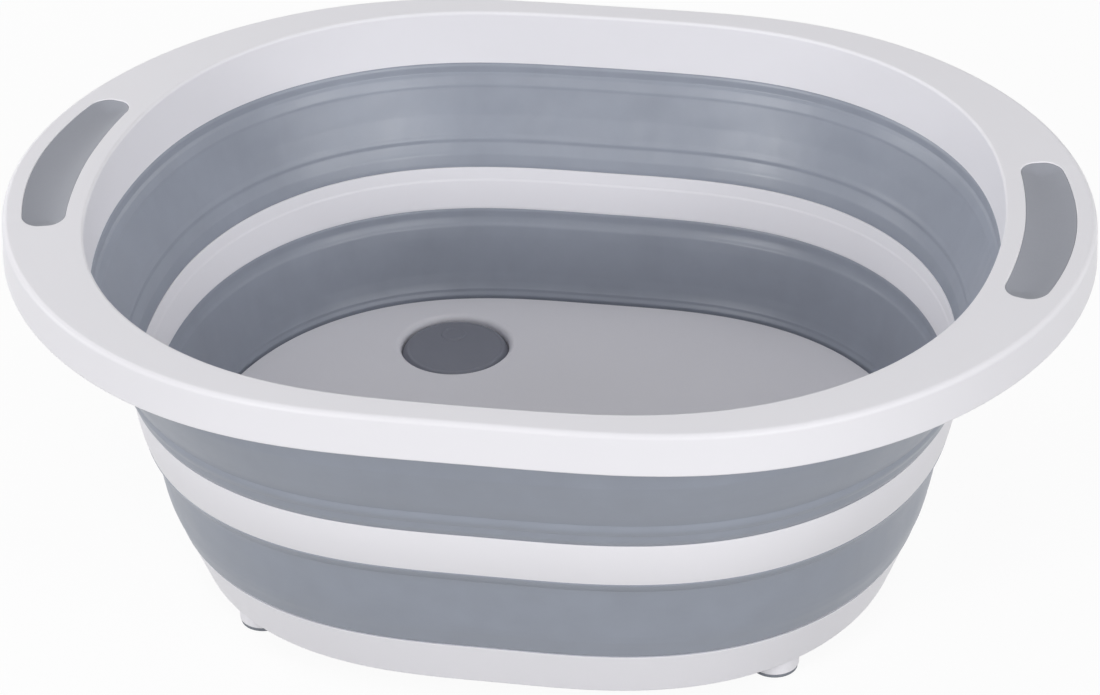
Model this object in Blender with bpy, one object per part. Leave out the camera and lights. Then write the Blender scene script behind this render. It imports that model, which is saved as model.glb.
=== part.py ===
# Collapsible camp washbasin: white plastic rings joined by soft folding walls.
# Metres, +Z up, origin on the ground under the middle of the basin, +X along its length.
# The wall pieces are lofts: one profile carried round an oval plan.

import math
from collections import namedtuple

import bmesh
import bpy
from mathutils import Matrix, Vector

MM = 0.001
turn = 2 * math.pi

# Rim, seen from above
rim_length = 400.0 * MM
rim_width = 316.8 * MM
end_flange_width = 33.0 * MM
side_flange_width = 11.8 * MM

# Heights of the parts that stack from the ground up
foot_drop = 7.6 * MM
base_height = 19.5 * MM
lower_wall_height = 39.3 * MM
ring_height = 17.7 * MM
upper_wall_height = 39.9 * MM
rim_wall_depth = 22.3 * MM

# How far each level stands in from the one above it
opening_draft_end = 0.4 * MM
opening_draft_side = 0.7 * MM
upper_fold_step = 15.1 * MM
ring_draft = 2.4 * MM
lower_fold_step = 11.0 * MM
base_draft_end = 7.2 * MM
base_draft_side = 6.3 * MM

# Wall thicknesses
seam_wall = 2.6 * MM
panel_wall = 1.8 * MM
hinge_wall = 1.2 * MM
flange_wall = 2.5 * MM
skirt_wall = 2.2 * MM
base_skirt_wall = 2.4 * MM
floor_wall = 2.5 * MM

# Tongues of hard plastic that the soft walls are moulded over
tongue_wall = 0.8 * MM
tongue_height = 3.0 * MM
seam_gap = 0.3 * MM

# Rim skirt and edge rounding
skirt_depth = 14.9 * MM
skirt_flare_end = 0.7 * MM
skirt_flare_side = 2.2 * MM
outer_edge_radius = 2.0 * MM
inner_edge_radius = 1.3 * MM

# Stiffening ribs under the flange at both ends
flange_rib_depth = 6.0 * MM
flange_rib_wall = 1.6 * MM
flange_rib_sink = 0.8 * MM
flange_rib_angles = [math.radians(a) for a in (34, 44, 54)]

# Creases of the folding walls, measured from the nearest hard edge
upper_wall_creases = {"low": 10.6 * MM, "high": 8.0 * MM}
lower_wall_creases = {"low": 6.5 * MM, "high": 5.5 * MM}
crease_width = 2.0 * MM

# How far each panel bows outwards a third and two thirds of the way up it
upper_wall_bows = {"low": 1.0 * MM, "high": 0.3 * MM}
lower_wall_bows = {"low": 0.7 * MM, "high": -0.5 * MM}

# Middle ring: a shallow step in its inner face and a bowed outer face
ring_step = 0.35 * MM
ring_bow = 0.7 * MM
ring_band = 4.8 * MM
ring_band_slope = 0.4 * MM

# Base tray: raised floor, ribs under it
floor_rise = 3.1 * MM
floor_edge_chamfer = 0.5 * MM
corner_web = 4.4 * MM
corner_web_height = 5.7 * MM
rib_depth = 6.0 * MM
rib_wall = 2.0 * MM
rib_sink = 1.0 * MM
long_rib_share = 0.324

# Feet: bearing of each post from the middle, and the skin of skirt left outside it
foot_angle = math.radians(39.2)
foot_skin = 1.4 * MM
foot_post_radius = 9.1 * MM
foot_post_draft = 0.3 * MM
foot_pad_radius = 8.7 * MM
foot_pad_height = 1.4 * MM
foot_pad_chamfer = 0.4 * MM
foot_stud_radius = 3.0 * MM
foot_stud_height = 4.0 * MM

# Drain and its plug: bearing from the middle, and the strip of floor left beside the dish
drain_angle = math.radians(119.15)
drain_edge_gap = 10.65 * MM
drain_dish_radius = 24.4 * MM
drain_dish_slope = 2.0 * MM
drain_dish_depth = 5.2 * MM
drain_hole_radius = 17.5 * MM
drain_boss_wall = 2.8 * MM
drain_spout_height = 4.5 * MM
drain_spout_wall = 2.2 * MM
plug_flange_wall = 1.9 * MM
plug_flange_clearance = 0.6 * MM
plug_edge_width = 2.8 * MM
plug_edge_chamfer = 0.7 * MM
plug_dish_depth = 0.5 * MM
plug_neck_depth = 9.5 * MM
plug_neck_wall = 2.4 * MM
plug_bead = 0.8 * MM
plug_bead_height = 1.6 * MM
plug_mark_radius = 4.8 * MM
plug_mark_offset = 10.3 * MM
plug_mark_angle = math.radians(105)
plug_mark_height = 0.4 * MM
plug_mark_sink = 0.6 * MM

# Hand grips let into the rim's ends
grip_half_span = 50.5 * MM
grip_margin = 7.3 * MM
grip_corner_radius = 7.5 * MM
grip_dish_depth = 2.0 * MM
grip_edge_drop = 0.3 * MM
grip_lip_width = 2.4 * MM
grip_lip_wall = 1.6 * MM
grip_inset_shares = (0.16, 0.4, 0.68, 0.9)

cut_overrun = 3.0 * MM

# Plan shapes: exponent of the oval, then how far it swells at its corners and shoulders
outer_plan_shares = (1.95, 0.061, -0.011, 0.003)
opening_plan_shares = (1.90, 0.082, -0.003, 0.006)
nest_plan_shares = (2.68, -0.014, -0.016, 0.0)

around = 48
round_steps = 24
grip_corner_steps = 4
grip_side_steps = 7
sharp_angle = math.radians(32)

white_colour = (0.80, 0.805, 0.82, 1.0)
wall_colour = (0.300, 0.325, 0.375, 1.0)
grip_colour = (0.330, 0.345, 0.370, 1.0)
plug_colour = (0.130, 0.138, 0.168, 1.0)
pad_colour = (0.200, 0.215, 0.240, 1.0)

# Heights worked out from the stack
skirt_foot_z = foot_drop
shoulder_z = skirt_foot_z + base_height
floor_z = shoulder_z + floor_rise
ring_foot_z = shoulder_z + lower_wall_height
ring_top_z = ring_foot_z + ring_height
rim_foot_z = ring_top_z + upper_wall_height
rim_top_z = rim_foot_z + rim_wall_depth

Station = namedtuple("Station", "plan outward height")


# Plans: each is a function that gives the oval's radius at an angle
def oval(half_length, half_width, plan_shares):
    squareness, corner, shoulder, ripple = plan_shares

    def radius(angle):
        along = abs(math.cos(angle) / half_length) ** squareness
        across = abs(math.sin(angle) / half_width) ** squareness
        swell = (
            corner * (1 - math.cos(4 * angle)) / 2
            + shoulder * (math.cos(2 * angle) - math.cos(6 * angle)) / 2
            + ripple * (1 - math.cos(8 * angle)) / 2
        )
        return (along + across) ** (-1 / squareness) * math.exp(swell)

    return radius


def between(lower, upper, share):
    return lambda angle: lower(angle) * (1 - share) + upper(angle) * share


def plan_point(plan, angle, outward):
    # A point of the plan, moved square to the oval by the outward distance
    probe = turn / 7200
    reach = plan(angle)
    change = (plan(angle + probe) - plan(angle - probe)) / (2 * probe)
    ray = Vector((math.cos(angle), math.sin(angle)))
    side = Vector((-ray.y, ray.x))
    normal = (ray * reach - side * change).normalized()
    return ray * reach + normal * outward


half_length = rim_length / 2
half_width = rim_width / 2
opening_length = half_length - end_flange_width
opening_width = half_width - side_flange_width
opening_foot_length = opening_length - opening_draft_end
opening_foot_width = opening_width - opening_draft_side


def nest(inset):
    # Plan of a level that stands in from the foot of the rim's opening
    return oval(opening_foot_length - inset, opening_foot_width - inset, nest_plan_shares)


outer_plan = oval(half_length, half_width, outer_plan_shares)
skirt_plan = oval(half_length + skirt_flare_end, half_width + skirt_flare_side, outer_plan_shares)
opening_plan = oval(opening_length, opening_width, opening_plan_shares)
opening_foot_plan = oval(opening_foot_length, opening_foot_width, opening_plan_shares)
ring_top_plan = nest(upper_fold_step)
ring_foot_plan = nest(upper_fold_step + ring_draft)
base_inset = upper_fold_step + ring_draft + lower_fold_step
base_plan = nest(base_inset)
base_foot_plan = oval(
    opening_foot_length - base_inset - base_draft_end,
    opening_foot_width - base_inset - base_draft_side,
    nest_plan_shares,
)


# Materials
def material(name, colour, roughness, metallic=0.0):
    made = bpy.data.materials.new(name)
    made.use_nodes = True
    shader = made.node_tree.nodes["Principled BSDF"]
    shader.inputs["Base Color"].default_value = colour
    shader.inputs["Roughness"].default_value = roughness
    shader.inputs["Metallic"].default_value = metallic
    made.diffuse_color = colour
    return made


# Makes an object whose origin is the given point, from a mesh drawn in world places
def finished(name, shape, origin, parent=None, surface=None):
    bmesh.ops.recalc_face_normals(shape, faces=shape.faces)
    bmesh.ops.translate(shape, verts=shape.verts, vec=-origin)
    mesh = bpy.data.meshes.new(name)
    shape.to_mesh(mesh)
    shape.free()
    mesh.shade_smooth()
    mesh.set_sharp_from_angle(angle=sharp_angle)
    made = bpy.data.objects.new(name, mesh)
    bpy.context.scene.collection.objects.link(made)
    made.location = origin
    if parent is not None:
        made.parent = parent
        made.location = origin - world_place(parent)
    if surface is not None:
        mesh.materials.append(surface)
    return made


def world_place(thing):
    place = Vector(thing.location)
    while thing.parent is not None:
        thing = thing.parent
        place += thing.location
    return place


def as_tool(thing):
    thing.hide_render = True
    thing.display_type = "WIRE"
    return thing


def combine(target, tool, operation):
    change = target.modifiers.new(tool.name, "BOOLEAN")
    change.operation = operation
    change.solver = "EXACT"
    change.object = tool


# Rings of points joined into a skin
def skin(shape, rings, closed):
    count = len(rings)
    last = count if closed else count - 1
    for level in range(last):
        here = rings[level]
        there = rings[(level + 1) % count]
        size = len(here)
        for step in range(size):
            beside = (step + 1) % size
            shape.faces.new((here[step], here[beside], there[beside], there[step]))
    if not closed:
        shape.faces.new(rings[0])
        shape.faces.new(reversed(rings[-1]))


def oval_ring(shape, station):
    ring = []
    for step in range(around):
        place = plan_point(station.plan, turn * step / around, station.outward)
        ring.append(shape.verts.new((place.x, place.y, station.height)))
    return ring


def oval_loft(stations, closed=True):
    shape = bmesh.new()
    skin(shape, [oval_ring(shape, station) for station in stations], closed)
    return shape


# A turned piece: its profile holds (radius, height) pairs from the top centre round to the bottom
def turned(shape, profile, centre, steps=round_steps):
    rings = []
    for radius, height in profile:
        ring = []
        for step in range(steps):
            angle = turn * step / steps
            place = (
                centre.x + radius * math.cos(angle),
                centre.y + radius * math.sin(angle),
                centre.z + height,
            )
            ring.append(shape.verts.new(place))
        rings.append(ring)
    skin(shape, rings, closed=False)


def block(shape, low, high):
    centre = (low + high) / 2
    size = high - low
    spot = Matrix.Translation(centre) @ Matrix.Diagonal((size.x, size.y, size.z, 1))
    bmesh.ops.create_cube(shape, size=1, matrix=spot)


# The four stations of a tongue that stands on a hard edge, from the basin's inside to its outside.
# It leans as the soft wall does, towards the plan at that wall's other end.
def tongue(plan, edge_z, far_plan, far_z):
    near = (seam_wall - tongue_wall) / 2
    far = near + tongue_wall
    tip_plan = between(plan, far_plan, tongue_height / abs(far_z - edge_z))
    tip_z = edge_z + math.copysign(tongue_height, far_z - edge_z)
    return [
        Station(plan, near, edge_z),
        Station(tip_plan, near, tip_z),
        Station(tip_plan, far, tip_z),
        Station(plan, far, edge_z),
    ]


def edge_arc(plan, turn_in, top_z, radius, start, end):
    # Rounded edge of the flange, drawn about a centre that lies inside the plastic
    stations = []
    for share in (0.0, 0.5, 1.0):
        angle = start + (end - start) * share
        outward = turn_in + radius * math.cos(angle)
        stations.append(Station(plan, outward, top_z - radius + radius * math.sin(angle)))
    return stations


# Folding wall: stiff stubs at both hard edges, a crease beside each, and a bowed panel between
def folding_wall(lower_plan, upper_plan, low_z, high_z, creases, bows):
    height = high_z - low_z
    thin = (seam_wall - panel_wall) / 2
    hinge = (seam_wall - hinge_wall) / 2
    slot_near = (seam_wall - tongue_wall) / 2 - seam_gap
    slot_far = seam_wall - slot_near
    slot_end = tongue_height + seam_gap
    low_crease = creases["low"]
    high_crease = height - creases["high"]
    half_crease = crease_width / 2
    panel_start = low_crease + half_crease
    panel_end = high_crease - half_crease

    def at(rise, outward):
        share = rise / height
        return Station(between(lower_plan, upper_plan, share), outward, low_z + rise)

    panel_length = panel_end - panel_start
    panel = [
        (panel_start, 0.0),
        (panel_start + panel_length / 3, bows["low"]),
        (panel_end - panel_length / 3, bows["high"]),
        (panel_end, 0.0),
    ]

    face = [(seam_gap, 0.0), (low_crease - half_crease, 0.0), (low_crease, hinge)]
    face += [(rise, thin + bow) for rise, bow in panel]
    face += [(high_crease, hinge), (high_crease + half_crease, 0.0), (height - seam_gap, 0.0)]
    back = [(seam_gap, seam_wall), (low_crease - half_crease, seam_wall)]
    back += [(low_crease, seam_wall - hinge)]
    back += [(rise, seam_wall - thin + bow) for rise, bow in panel]
    back += [(high_crease, seam_wall - hinge), (high_crease + half_crease, seam_wall)]
    back += [(height - seam_gap, seam_wall)]
    top_slot = [
        (height - seam_gap, slot_near),
        (height - slot_end, slot_near),
        (height - slot_end, slot_far),
        (height - seam_gap, slot_far),
    ]
    low_slot = [
        (seam_gap, slot_far),
        (slot_end, slot_far),
        (slot_end, slot_near),
        (seam_gap, slot_near),
    ]
    loop = face + top_slot + back[::-1] + low_slot
    return oval_loft([at(rise, outward) for rise, outward in loop])


# Rim: an upside-down channel with a deep inner wall and a flared outer skirt
def make_rim(parent, surface):
    skirt_z = rim_top_z - skirt_depth
    under_z = rim_top_z - flange_wall
    top_share = 1 - inner_edge_radius / rim_wall_depth
    wall_top = between(opening_foot_plan, opening_plan, top_share)
    stations = [
        Station(opening_foot_plan, 0.0, rim_foot_z),
        Station(wall_top, 0.0, rim_top_z - inner_edge_radius),
    ]
    stations += edge_arc(
        opening_plan, inner_edge_radius, rim_top_z, inner_edge_radius, math.pi, math.pi / 2
    )[1:]
    stations += edge_arc(
        outer_plan, -outer_edge_radius, rim_top_z, outer_edge_radius, math.pi / 2, 0.0
    )
    stations += [
        Station(skirt_plan, 0.0, skirt_z),
        Station(skirt_plan, -skirt_wall, skirt_z),
        Station(outer_plan, -skirt_wall, under_z),
        Station(opening_plan, seam_wall, under_z),
        Station(opening_foot_plan, seam_wall, rim_foot_z),
    ]
    stations += tongue(opening_foot_plan, rim_foot_z, ring_top_plan, ring_top_z)[::-1]
    return finished("rim", oval_loft(stations), Vector((0, 0, rim_foot_z)), parent, surface)


def flange_ribs(under_z):
    # Thin webs from the inner wall to the skirt, beside the hand grips
    shape = bmesh.new()
    low_z = under_z - flange_rib_depth
    high_z = under_z + flange_rib_sink
    for corner in flange_rib_angles:
        for angle in (corner, math.pi - corner, math.pi + corner, turn - corner):
            inner = plan_point(opening_plan, angle, seam_wall - flange_rib_sink)
            outer = plan_point(outer_plan, angle, flange_rib_sink - skirt_wall)
            run = outer - inner
            across = Vector((-run.y, run.x)).normalized() * (flange_rib_wall / 2)
            rings = []
            for height in (low_z, high_z):
                corners = (inner - across, outer - across, outer + across, inner + across)
                rings.append([shape.verts.new((c.x, c.y, height)) for c in corners])
            skin(shape, rings, closed=False)
    return shape


# Hand grip: a soft pad that follows the flange round the end of the oval
def grip_ring(shape, end, grow, height):
    flange = end_flange_width - 2 * grip_margin
    half_across = flange / 2
    span = grip_half_span + grow
    across = half_across + grow
    corner = max(grip_corner_radius + grow, seam_gap)
    corner = min(corner, across)
    places = []
    quarter = math.pi / 2
    for side in range(4):
        sign_u = (1, -1, -1, 1)[side]
        sign_v = (1, 1, -1, -1)[side]
        for step in range(grip_corner_steps + 1):
            angle = quarter * (side + step / grip_corner_steps)
            u = sign_u * (span - corner) + corner * math.cos(angle)
            v = sign_v * (across - corner) + corner * math.sin(angle)
            places.append((u, v))
        if side in (0, 2):
            run = 2 * (span - corner)
            for step in range(1, grip_side_steps):
                u = sign_u * ((span - corner) - run * step / grip_side_steps)
                places.append((u, sign_v * across))
    mid_radius = half_length - end_flange_width / 2
    ring = []
    for u, v in places:
        angle = end + u / mid_radius
        low = opening_plan(angle) + grip_margin
        high = outer_plan(angle) - grip_margin
        reach = low + (high - low) * (v / half_across + 1) / 2
        ring.append(shape.verts.new((reach * math.cos(angle), reach * math.sin(angle), height)))
    return ring


def make_grip(name, end, rim, surface):
    under_z = rim_top_z - flange_wall - seam_gap
    lip_z = under_z - grip_lip_wall
    edge_z = rim_top_z - grip_edge_drop
    half_across = (end_flange_width - 2 * grip_margin) / 2
    shape = bmesh.new()
    rings = [
        grip_ring(shape, end, grip_lip_width, lip_z),
        grip_ring(shape, end, grip_lip_width, under_z),
        grip_ring(shape, end, 0.0, under_z),
        grip_ring(shape, end, 0.0, edge_z),
    ]
    for share in grip_inset_shares:
        sag = grip_dish_depth * (1 - (1 - share) ** 2)
        rings.append(grip_ring(shape, end, -half_across * share, edge_z - sag))
    skin(shape, rings, closed=False)
    centre = Vector((math.cos(end) * (half_length - end_flange_width / 2), 0, rim_top_z))
    return finished(name, shape, centre, rim, surface)


def grip_window(end):
    shape = bmesh.new()
    low_z = rim_top_z - flange_wall - cut_overrun
    rings = [grip_ring(shape, end, seam_gap, z) for z in (low_z, rim_top_z + cut_overrun)]
    skin(shape, rings, closed=False)
    return shape


# Middle ring: a band with a shallow step in its inner face and a bowed outer face
def make_middle_ring(parent, surface):
    def at(rise, outward):
        plan = between(ring_foot_plan, ring_top_plan, rise / ring_height)
        return Station(plan, outward, ring_foot_z + rise)

    step_rise = ring_height - ring_band
    stations = [
        at(0.0, 0.0),
        at(ring_band_slope, -ring_step),
        at(step_rise - ring_band_slope, -ring_step),
        at(step_rise, 0.0),
        at(ring_height, 0.0),
    ]
    stations += tongue(ring_top_plan, ring_top_z, opening_foot_plan, rim_foot_z)
    stations += [
        at(ring_height, seam_wall),
        at(ring_height * 2 / 3, seam_wall + ring_bow),
        at(ring_height / 3, seam_wall + ring_bow),
        at(0.0, seam_wall),
    ]
    stations += tongue(ring_foot_plan, ring_foot_z, base_plan, shoulder_z)[::-1]
    shape = oval_loft(stations)
    return finished("middle_ring", shape, Vector((0, 0, ring_foot_z)), parent, surface)


# Base: a raised floor with a drafted skirt, open below
def make_base(surface):
    floor_edge = -seam_gap
    floor_plan = between(base_plan, ring_foot_plan, floor_rise / lower_wall_height)
    web_z = floor_z - floor_wall - corner_web_height
    web_share = (web_z - skirt_foot_z) / base_height
    web_plan = between(base_foot_plan, base_plan, web_share)
    stations = [
        Station(floor_plan, floor_edge - floor_edge_chamfer, floor_z),
        Station(floor_plan, floor_edge, floor_z - floor_edge_chamfer),
        Station(base_plan, floor_edge, shoulder_z),
    ]
    stations += tongue(base_plan, shoulder_z, ring_foot_plan, ring_foot_z)
    stations += [
        Station(base_plan, seam_wall, shoulder_z),
        Station(base_foot_plan, seam_wall, skirt_foot_z),
        Station(base_foot_plan, seam_wall - base_skirt_wall, skirt_foot_z),
        Station(web_plan, seam_wall - base_skirt_wall, web_z),
        Station(base_plan, -corner_web, floor_z - floor_wall),
    ]
    return finished("base", oval_loft(stations, closed=False), Vector((0, 0, 0)), None, surface)


def foot_places():
    # Each post grows out of the skirt's foot, just inside its outer face
    outward = seam_wall - foot_skin - foot_post_radius
    place = plan_point(base_foot_plan, foot_angle, outward)
    corners = ((-1, -1), (1, -1), (1, 1), (-1, 1))
    return [Vector((side * place.x, end * place.y, 0)) for side, end in corners]


def foot_posts():
    shape = bmesh.new()
    top_z = floor_z - floor_wall + rib_sink
    low_z = foot_pad_height + seam_gap
    for place in foot_places():
        profile = [(foot_post_radius + foot_post_draft, top_z), (foot_post_radius, low_z)]
        turned(shape, profile, place)
    return shape


def foot_sockets():
    shape = bmesh.new()
    low_z = foot_pad_height + seam_gap
    radius = foot_stud_radius + seam_gap
    for place in foot_places():
        top_z = low_z + foot_stud_height
        turned(shape, [(radius, top_z), (radius, low_z - cut_overrun)], place)
    return shape


def reach_along(plan, outward, offset, axis):
    # How far the plan reaches along one axis, on a line that lies off the middle
    other = 1 - axis
    best = None
    steps = around * 8
    for step in range(steps):
        place = plan_point(plan, turn * step / steps, outward)
        if place[axis] <= 0:
            continue
        miss = abs(place[other] - offset)
        if best is None or miss < best[0]:
            best = (miss, place[axis])
    return best[1]


def floor_ribs(offsets, axis):
    # Ribs under the floor that run along one axis and end inside the skirt
    low_z = floor_z - floor_wall - rib_depth
    high_z = floor_z - floor_wall + rib_sink
    share = (low_z - skirt_foot_z) / base_height
    plan = between(base_foot_plan, base_plan, share)
    outward = seam_wall - base_skirt_wall / 2
    shape = bmesh.new()
    for offset in offsets:
        reach = reach_along(plan, outward, offset, axis)
        low = Vector((0, 0, low_z))
        high = Vector((0, 0, high_z))
        low[axis], high[axis] = -reach, reach
        low[1 - axis] = offset - rib_wall / 2
        high[1 - axis] = offset + rib_wall / 2
        block(shape, low, high)
    return shape


def drain_place():
    place = plan_point(base_plan, drain_angle, -drain_dish_radius - drain_edge_gap)
    return Vector((place.x, place.y, floor_z))


def drain_boss():
    shape = bmesh.new()
    top = -floor_wall / 2
    boss_foot = -drain_dish_depth - floor_wall
    boss_radius = drain_dish_radius + drain_boss_wall
    spout_radius = drain_hole_radius + drain_spout_wall
    profile = [
        (boss_radius, top),
        (boss_radius, boss_foot),
        (spout_radius, boss_foot),
        (spout_radius, boss_foot - drain_spout_height),
    ]
    turned(shape, profile, drain_place())
    return shape


def drain_cut():
    shape = bmesh.new()
    seat_radius = drain_dish_radius - drain_dish_slope
    slope = drain_dish_slope / drain_dish_depth
    low = -drain_dish_depth - floor_wall - drain_spout_height - cut_overrun
    profile = [
        (drain_dish_radius + slope * cut_overrun, cut_overrun),
        (seat_radius, -drain_dish_depth),
        (drain_hole_radius, -drain_dish_depth),
        (drain_hole_radius, low),
    ]
    turned(shape, profile, drain_place())
    return shape


# Drain plug: dished disc on a hollow neck with sealing beads
def make_plug(parent, surface):
    edge = drain_dish_radius - drain_dish_slope - plug_flange_clearance
    under = -drain_dish_depth + seam_gap
    top = under + plug_flange_wall
    dish = top - plug_dish_depth
    bead_radius = drain_hole_radius - seam_gap
    neck_radius = bead_radius - plug_bead
    foot = under - plug_neck_depth
    bore = neck_radius - plug_neck_wall
    profile = [
        (edge - plug_edge_width * 2, dish),
        (edge - plug_edge_width, top),
        (edge - plug_edge_chamfer, top),
        (edge, top - plug_edge_chamfer),
        (edge, under),
        (neck_radius, under),
    ]
    for row in (1, 2):
        bead = under - plug_neck_depth * row / 3
        profile += [
            (neck_radius, bead + plug_bead_height),
            (bead_radius, bead + plug_bead_height / 2),
            (neck_radius, bead),
        ]
    profile += [(neck_radius, foot), (bore, foot), (bore, under)]
    shape = bmesh.new()
    turned(shape, profile, drain_place())
    return finished("drain_plug", shape, drain_place(), parent, surface)


def plug_mark():
    shape = bmesh.new()
    dish = -drain_dish_depth + seam_gap + plug_flange_wall - plug_dish_depth
    bearing = Vector((math.cos(plug_mark_angle), math.sin(plug_mark_angle), 0))
    centre = drain_place() + bearing * plug_mark_offset
    rise = dish + plug_mark_height
    profile = [
        (plug_mark_radius - plug_mark_height, rise),
        (plug_mark_radius, rise - plug_mark_height / 2),
        (plug_mark_radius, dish - plug_mark_sink),
    ]
    turned(shape, profile, centre, steps=round_steps // 2)
    return shape


# Foot pad: a thin rubber tip with a stud that presses up into the post
def make_foot_pads(base, surface):
    stud_top = foot_pad_height + foot_stud_height
    profile = [
        (foot_stud_radius, stud_top),
        (foot_stud_radius, foot_pad_height),
        (foot_pad_radius, foot_pad_height),
        (foot_pad_radius, foot_pad_chamfer),
        (foot_pad_radius - foot_pad_chamfer, 0.0),
    ]
    names = ("front_left", "front_right", "rear_right", "rear_left")
    for name, place in zip(names, foot_places()):
        shape = bmesh.new()
        turned(shape, profile, place, steps=round_steps * 2 // 3)
        finished("foot_pad_" + name, shape, place, base, surface)


def main():
    for old in list(bpy.data.objects):
        bpy.data.objects.remove(old, do_unlink=True)

    white = material("white_plastic", white_colour, 0.32)
    soft_grey = material("soft_grey_wall", wall_colour, 0.42)
    grip_grey = material("grip_grey", grip_colour, 0.60)
    plug_grey = material("plug_grey", plug_colour, 0.50)
    pad_grey = material("foot_rubber", pad_colour, 0.70)
    ground = Vector((0, 0, 0))

    # Base with its floor, posts, ribs and drain
    base = make_base(white)
    rib_y = long_rib_share * base_plan(turn / 4)
    rib_x = abs(foot_places()[0].x)
    for name, shape in (
        ("tool_foot_posts", foot_posts()),
        ("tool_long_ribs", floor_ribs((-rib_y, rib_y), 0)),
        ("tool_cross_ribs", floor_ribs((-rib_x, 0.0, rib_x), 1)),
        ("tool_drain_boss", drain_boss()),
    ):
        combine(base, as_tool(finished(name, shape, ground)), "UNION")
    for name, shape in (("tool_drain_cut", drain_cut()), ("tool_foot_sockets", foot_sockets())):
        combine(base, as_tool(finished(name, shape, ground)), "DIFFERENCE")
    make_foot_pads(base, pad_grey)

    # Lower folding wall stays on the base, the upper one on the middle ring
    lower = folding_wall(
        base_plan, ring_foot_plan, shoulder_z, ring_foot_z, lower_wall_creases, lower_wall_bows
    )
    finished("lower_folding_wall", lower, Vector((0, 0, shoulder_z)), base, soft_grey)
    ring = make_middle_ring(base, white)
    upper = folding_wall(
        ring_top_plan, opening_foot_plan, ring_top_z, rim_foot_z, upper_wall_creases, upper_wall_bows
    )
    finished("upper_folding_wall", upper, Vector((0, 0, ring_top_z)), ring, soft_grey)

    # Rim with its stiffening webs and the windows for the grips
    rim = make_rim(ring, white)
    webs = finished("tool_flange_ribs", flange_ribs(rim_top_z - flange_wall), ground)
    combine(rim, as_tool(webs), "UNION")
    for name, end in (("right", 0.0), ("left", math.pi)):
        window = finished("tool_window_" + name, grip_window(end), ground)
        combine(rim, as_tool(window), "DIFFERENCE")
        make_grip(name + "_grip", end, rim, grip_grey)

    plug = make_plug(base, plug_grey)
    mark = finished("tool_plug_mark", plug_mark(), ground)
    combine(plug, as_tool(mark), "UNION")


main()
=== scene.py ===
import math

import bmesh
import bpy
import numpy as np
from mathutils import Matrix, Vector


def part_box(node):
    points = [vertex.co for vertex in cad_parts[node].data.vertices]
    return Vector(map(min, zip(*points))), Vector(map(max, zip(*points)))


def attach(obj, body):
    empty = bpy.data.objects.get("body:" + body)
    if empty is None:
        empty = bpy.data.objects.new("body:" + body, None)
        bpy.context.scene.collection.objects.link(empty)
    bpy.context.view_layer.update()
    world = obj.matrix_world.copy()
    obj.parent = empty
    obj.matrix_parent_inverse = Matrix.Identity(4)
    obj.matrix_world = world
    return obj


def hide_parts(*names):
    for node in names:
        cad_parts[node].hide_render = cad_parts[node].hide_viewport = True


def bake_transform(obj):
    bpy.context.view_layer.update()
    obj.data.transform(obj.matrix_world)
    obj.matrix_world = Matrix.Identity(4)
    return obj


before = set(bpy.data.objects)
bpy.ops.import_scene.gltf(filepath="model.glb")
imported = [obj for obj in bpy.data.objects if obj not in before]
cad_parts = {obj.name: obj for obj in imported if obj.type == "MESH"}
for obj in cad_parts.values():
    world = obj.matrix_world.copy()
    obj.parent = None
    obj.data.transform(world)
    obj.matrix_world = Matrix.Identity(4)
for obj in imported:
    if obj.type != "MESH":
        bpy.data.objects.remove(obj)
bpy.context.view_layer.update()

mm = 0.001
turn = 2 * math.pi
around = 288  # points round the oval
roundSteps = 96  # points round a turned piece
arcSteps = 6  # faces across a rounded edge
fineArcSteps = 8  # the same, on large edges
sharpAngle = math.radians(38)  # edges with a larger turn than this stay crisp


def millimetres(**sizes):
    return {name: size * mm for name, size in sizes.items()}


# Sizes that several pieces share
shared = millimetres(
    seamGap=0.3, seamWall=2.6, tongueWall=0.8, tongueHeight=3.0,
    endFlange=33.0, sideFlange=11.8, openingDraftEnd=0.4, openingDraftSide=0.7,
    upperStep=15.1, ringDraft=2.4, lowerStep=11.0, baseDraftEnd=7.2, baseDraftSide=6.3,
    skirtFlareEnd=0.7, skirtFlareSide=2.2,
)
# Oval plans: exponent, then the swell at the corners, at the shoulders and in a fine ripple
planShares = {
    "outer": (1.95, 0.061, -0.011, 0.003),
    "opening": (1.90, 0.082, -0.003, 0.006),
    "nest": (2.68, -0.014, -0.016, 0.0),
}

# Levels of the stack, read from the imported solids
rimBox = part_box("rim")
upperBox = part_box("upper_folding_wall")
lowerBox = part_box("lower_folding_wall")
rimTop = rimBox[1].z
rimFoot = upperBox[1].z + shared["seamGap"]
ringTop = upperBox[0].z - shared["seamGap"]
ringFoot = lowerBox[1].z + shared["seamGap"]
shoulder = lowerBox[0].z - shared["seamGap"]
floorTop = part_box("base")[1].z


# Plans: each is a function that gives the oval's radius at an angle
def oval(halfLength, halfWidth, shares):
    squareness, corner, shoulderShare, ripple = shares

    def radius(angle):
        along = np.abs(np.cos(angle) / halfLength) ** squareness
        across = np.abs(np.sin(angle) / halfWidth) ** squareness
        swell = (
            corner * (1 - np.cos(4 * angle)) / 2
            + shoulderShare * (np.cos(2 * angle) - np.cos(6 * angle)) / 2
            + ripple * (1 - np.cos(8 * angle)) / 2
        )
        return (along + across) ** (-1 / squareness) * np.exp(swell)

    return radius


def between(lower, upper, share):
    return lambda angle: lower(angle) * (1 - share) + upper(angle) * share


halfLength = rimBox[1].x - shared["skirtFlareEnd"]
halfWidth = rimBox[1].y - shared["skirtFlareSide"]
footLength = halfLength - shared["endFlange"] - shared["openingDraftEnd"]
footWidth = halfWidth - shared["sideFlange"] - shared["openingDraftSide"]


def nest(inset, insetSide=None):
    side = inset if insetSide is None else insetSide
    return oval(footLength - inset, footWidth - side, planShares["nest"])


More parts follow.
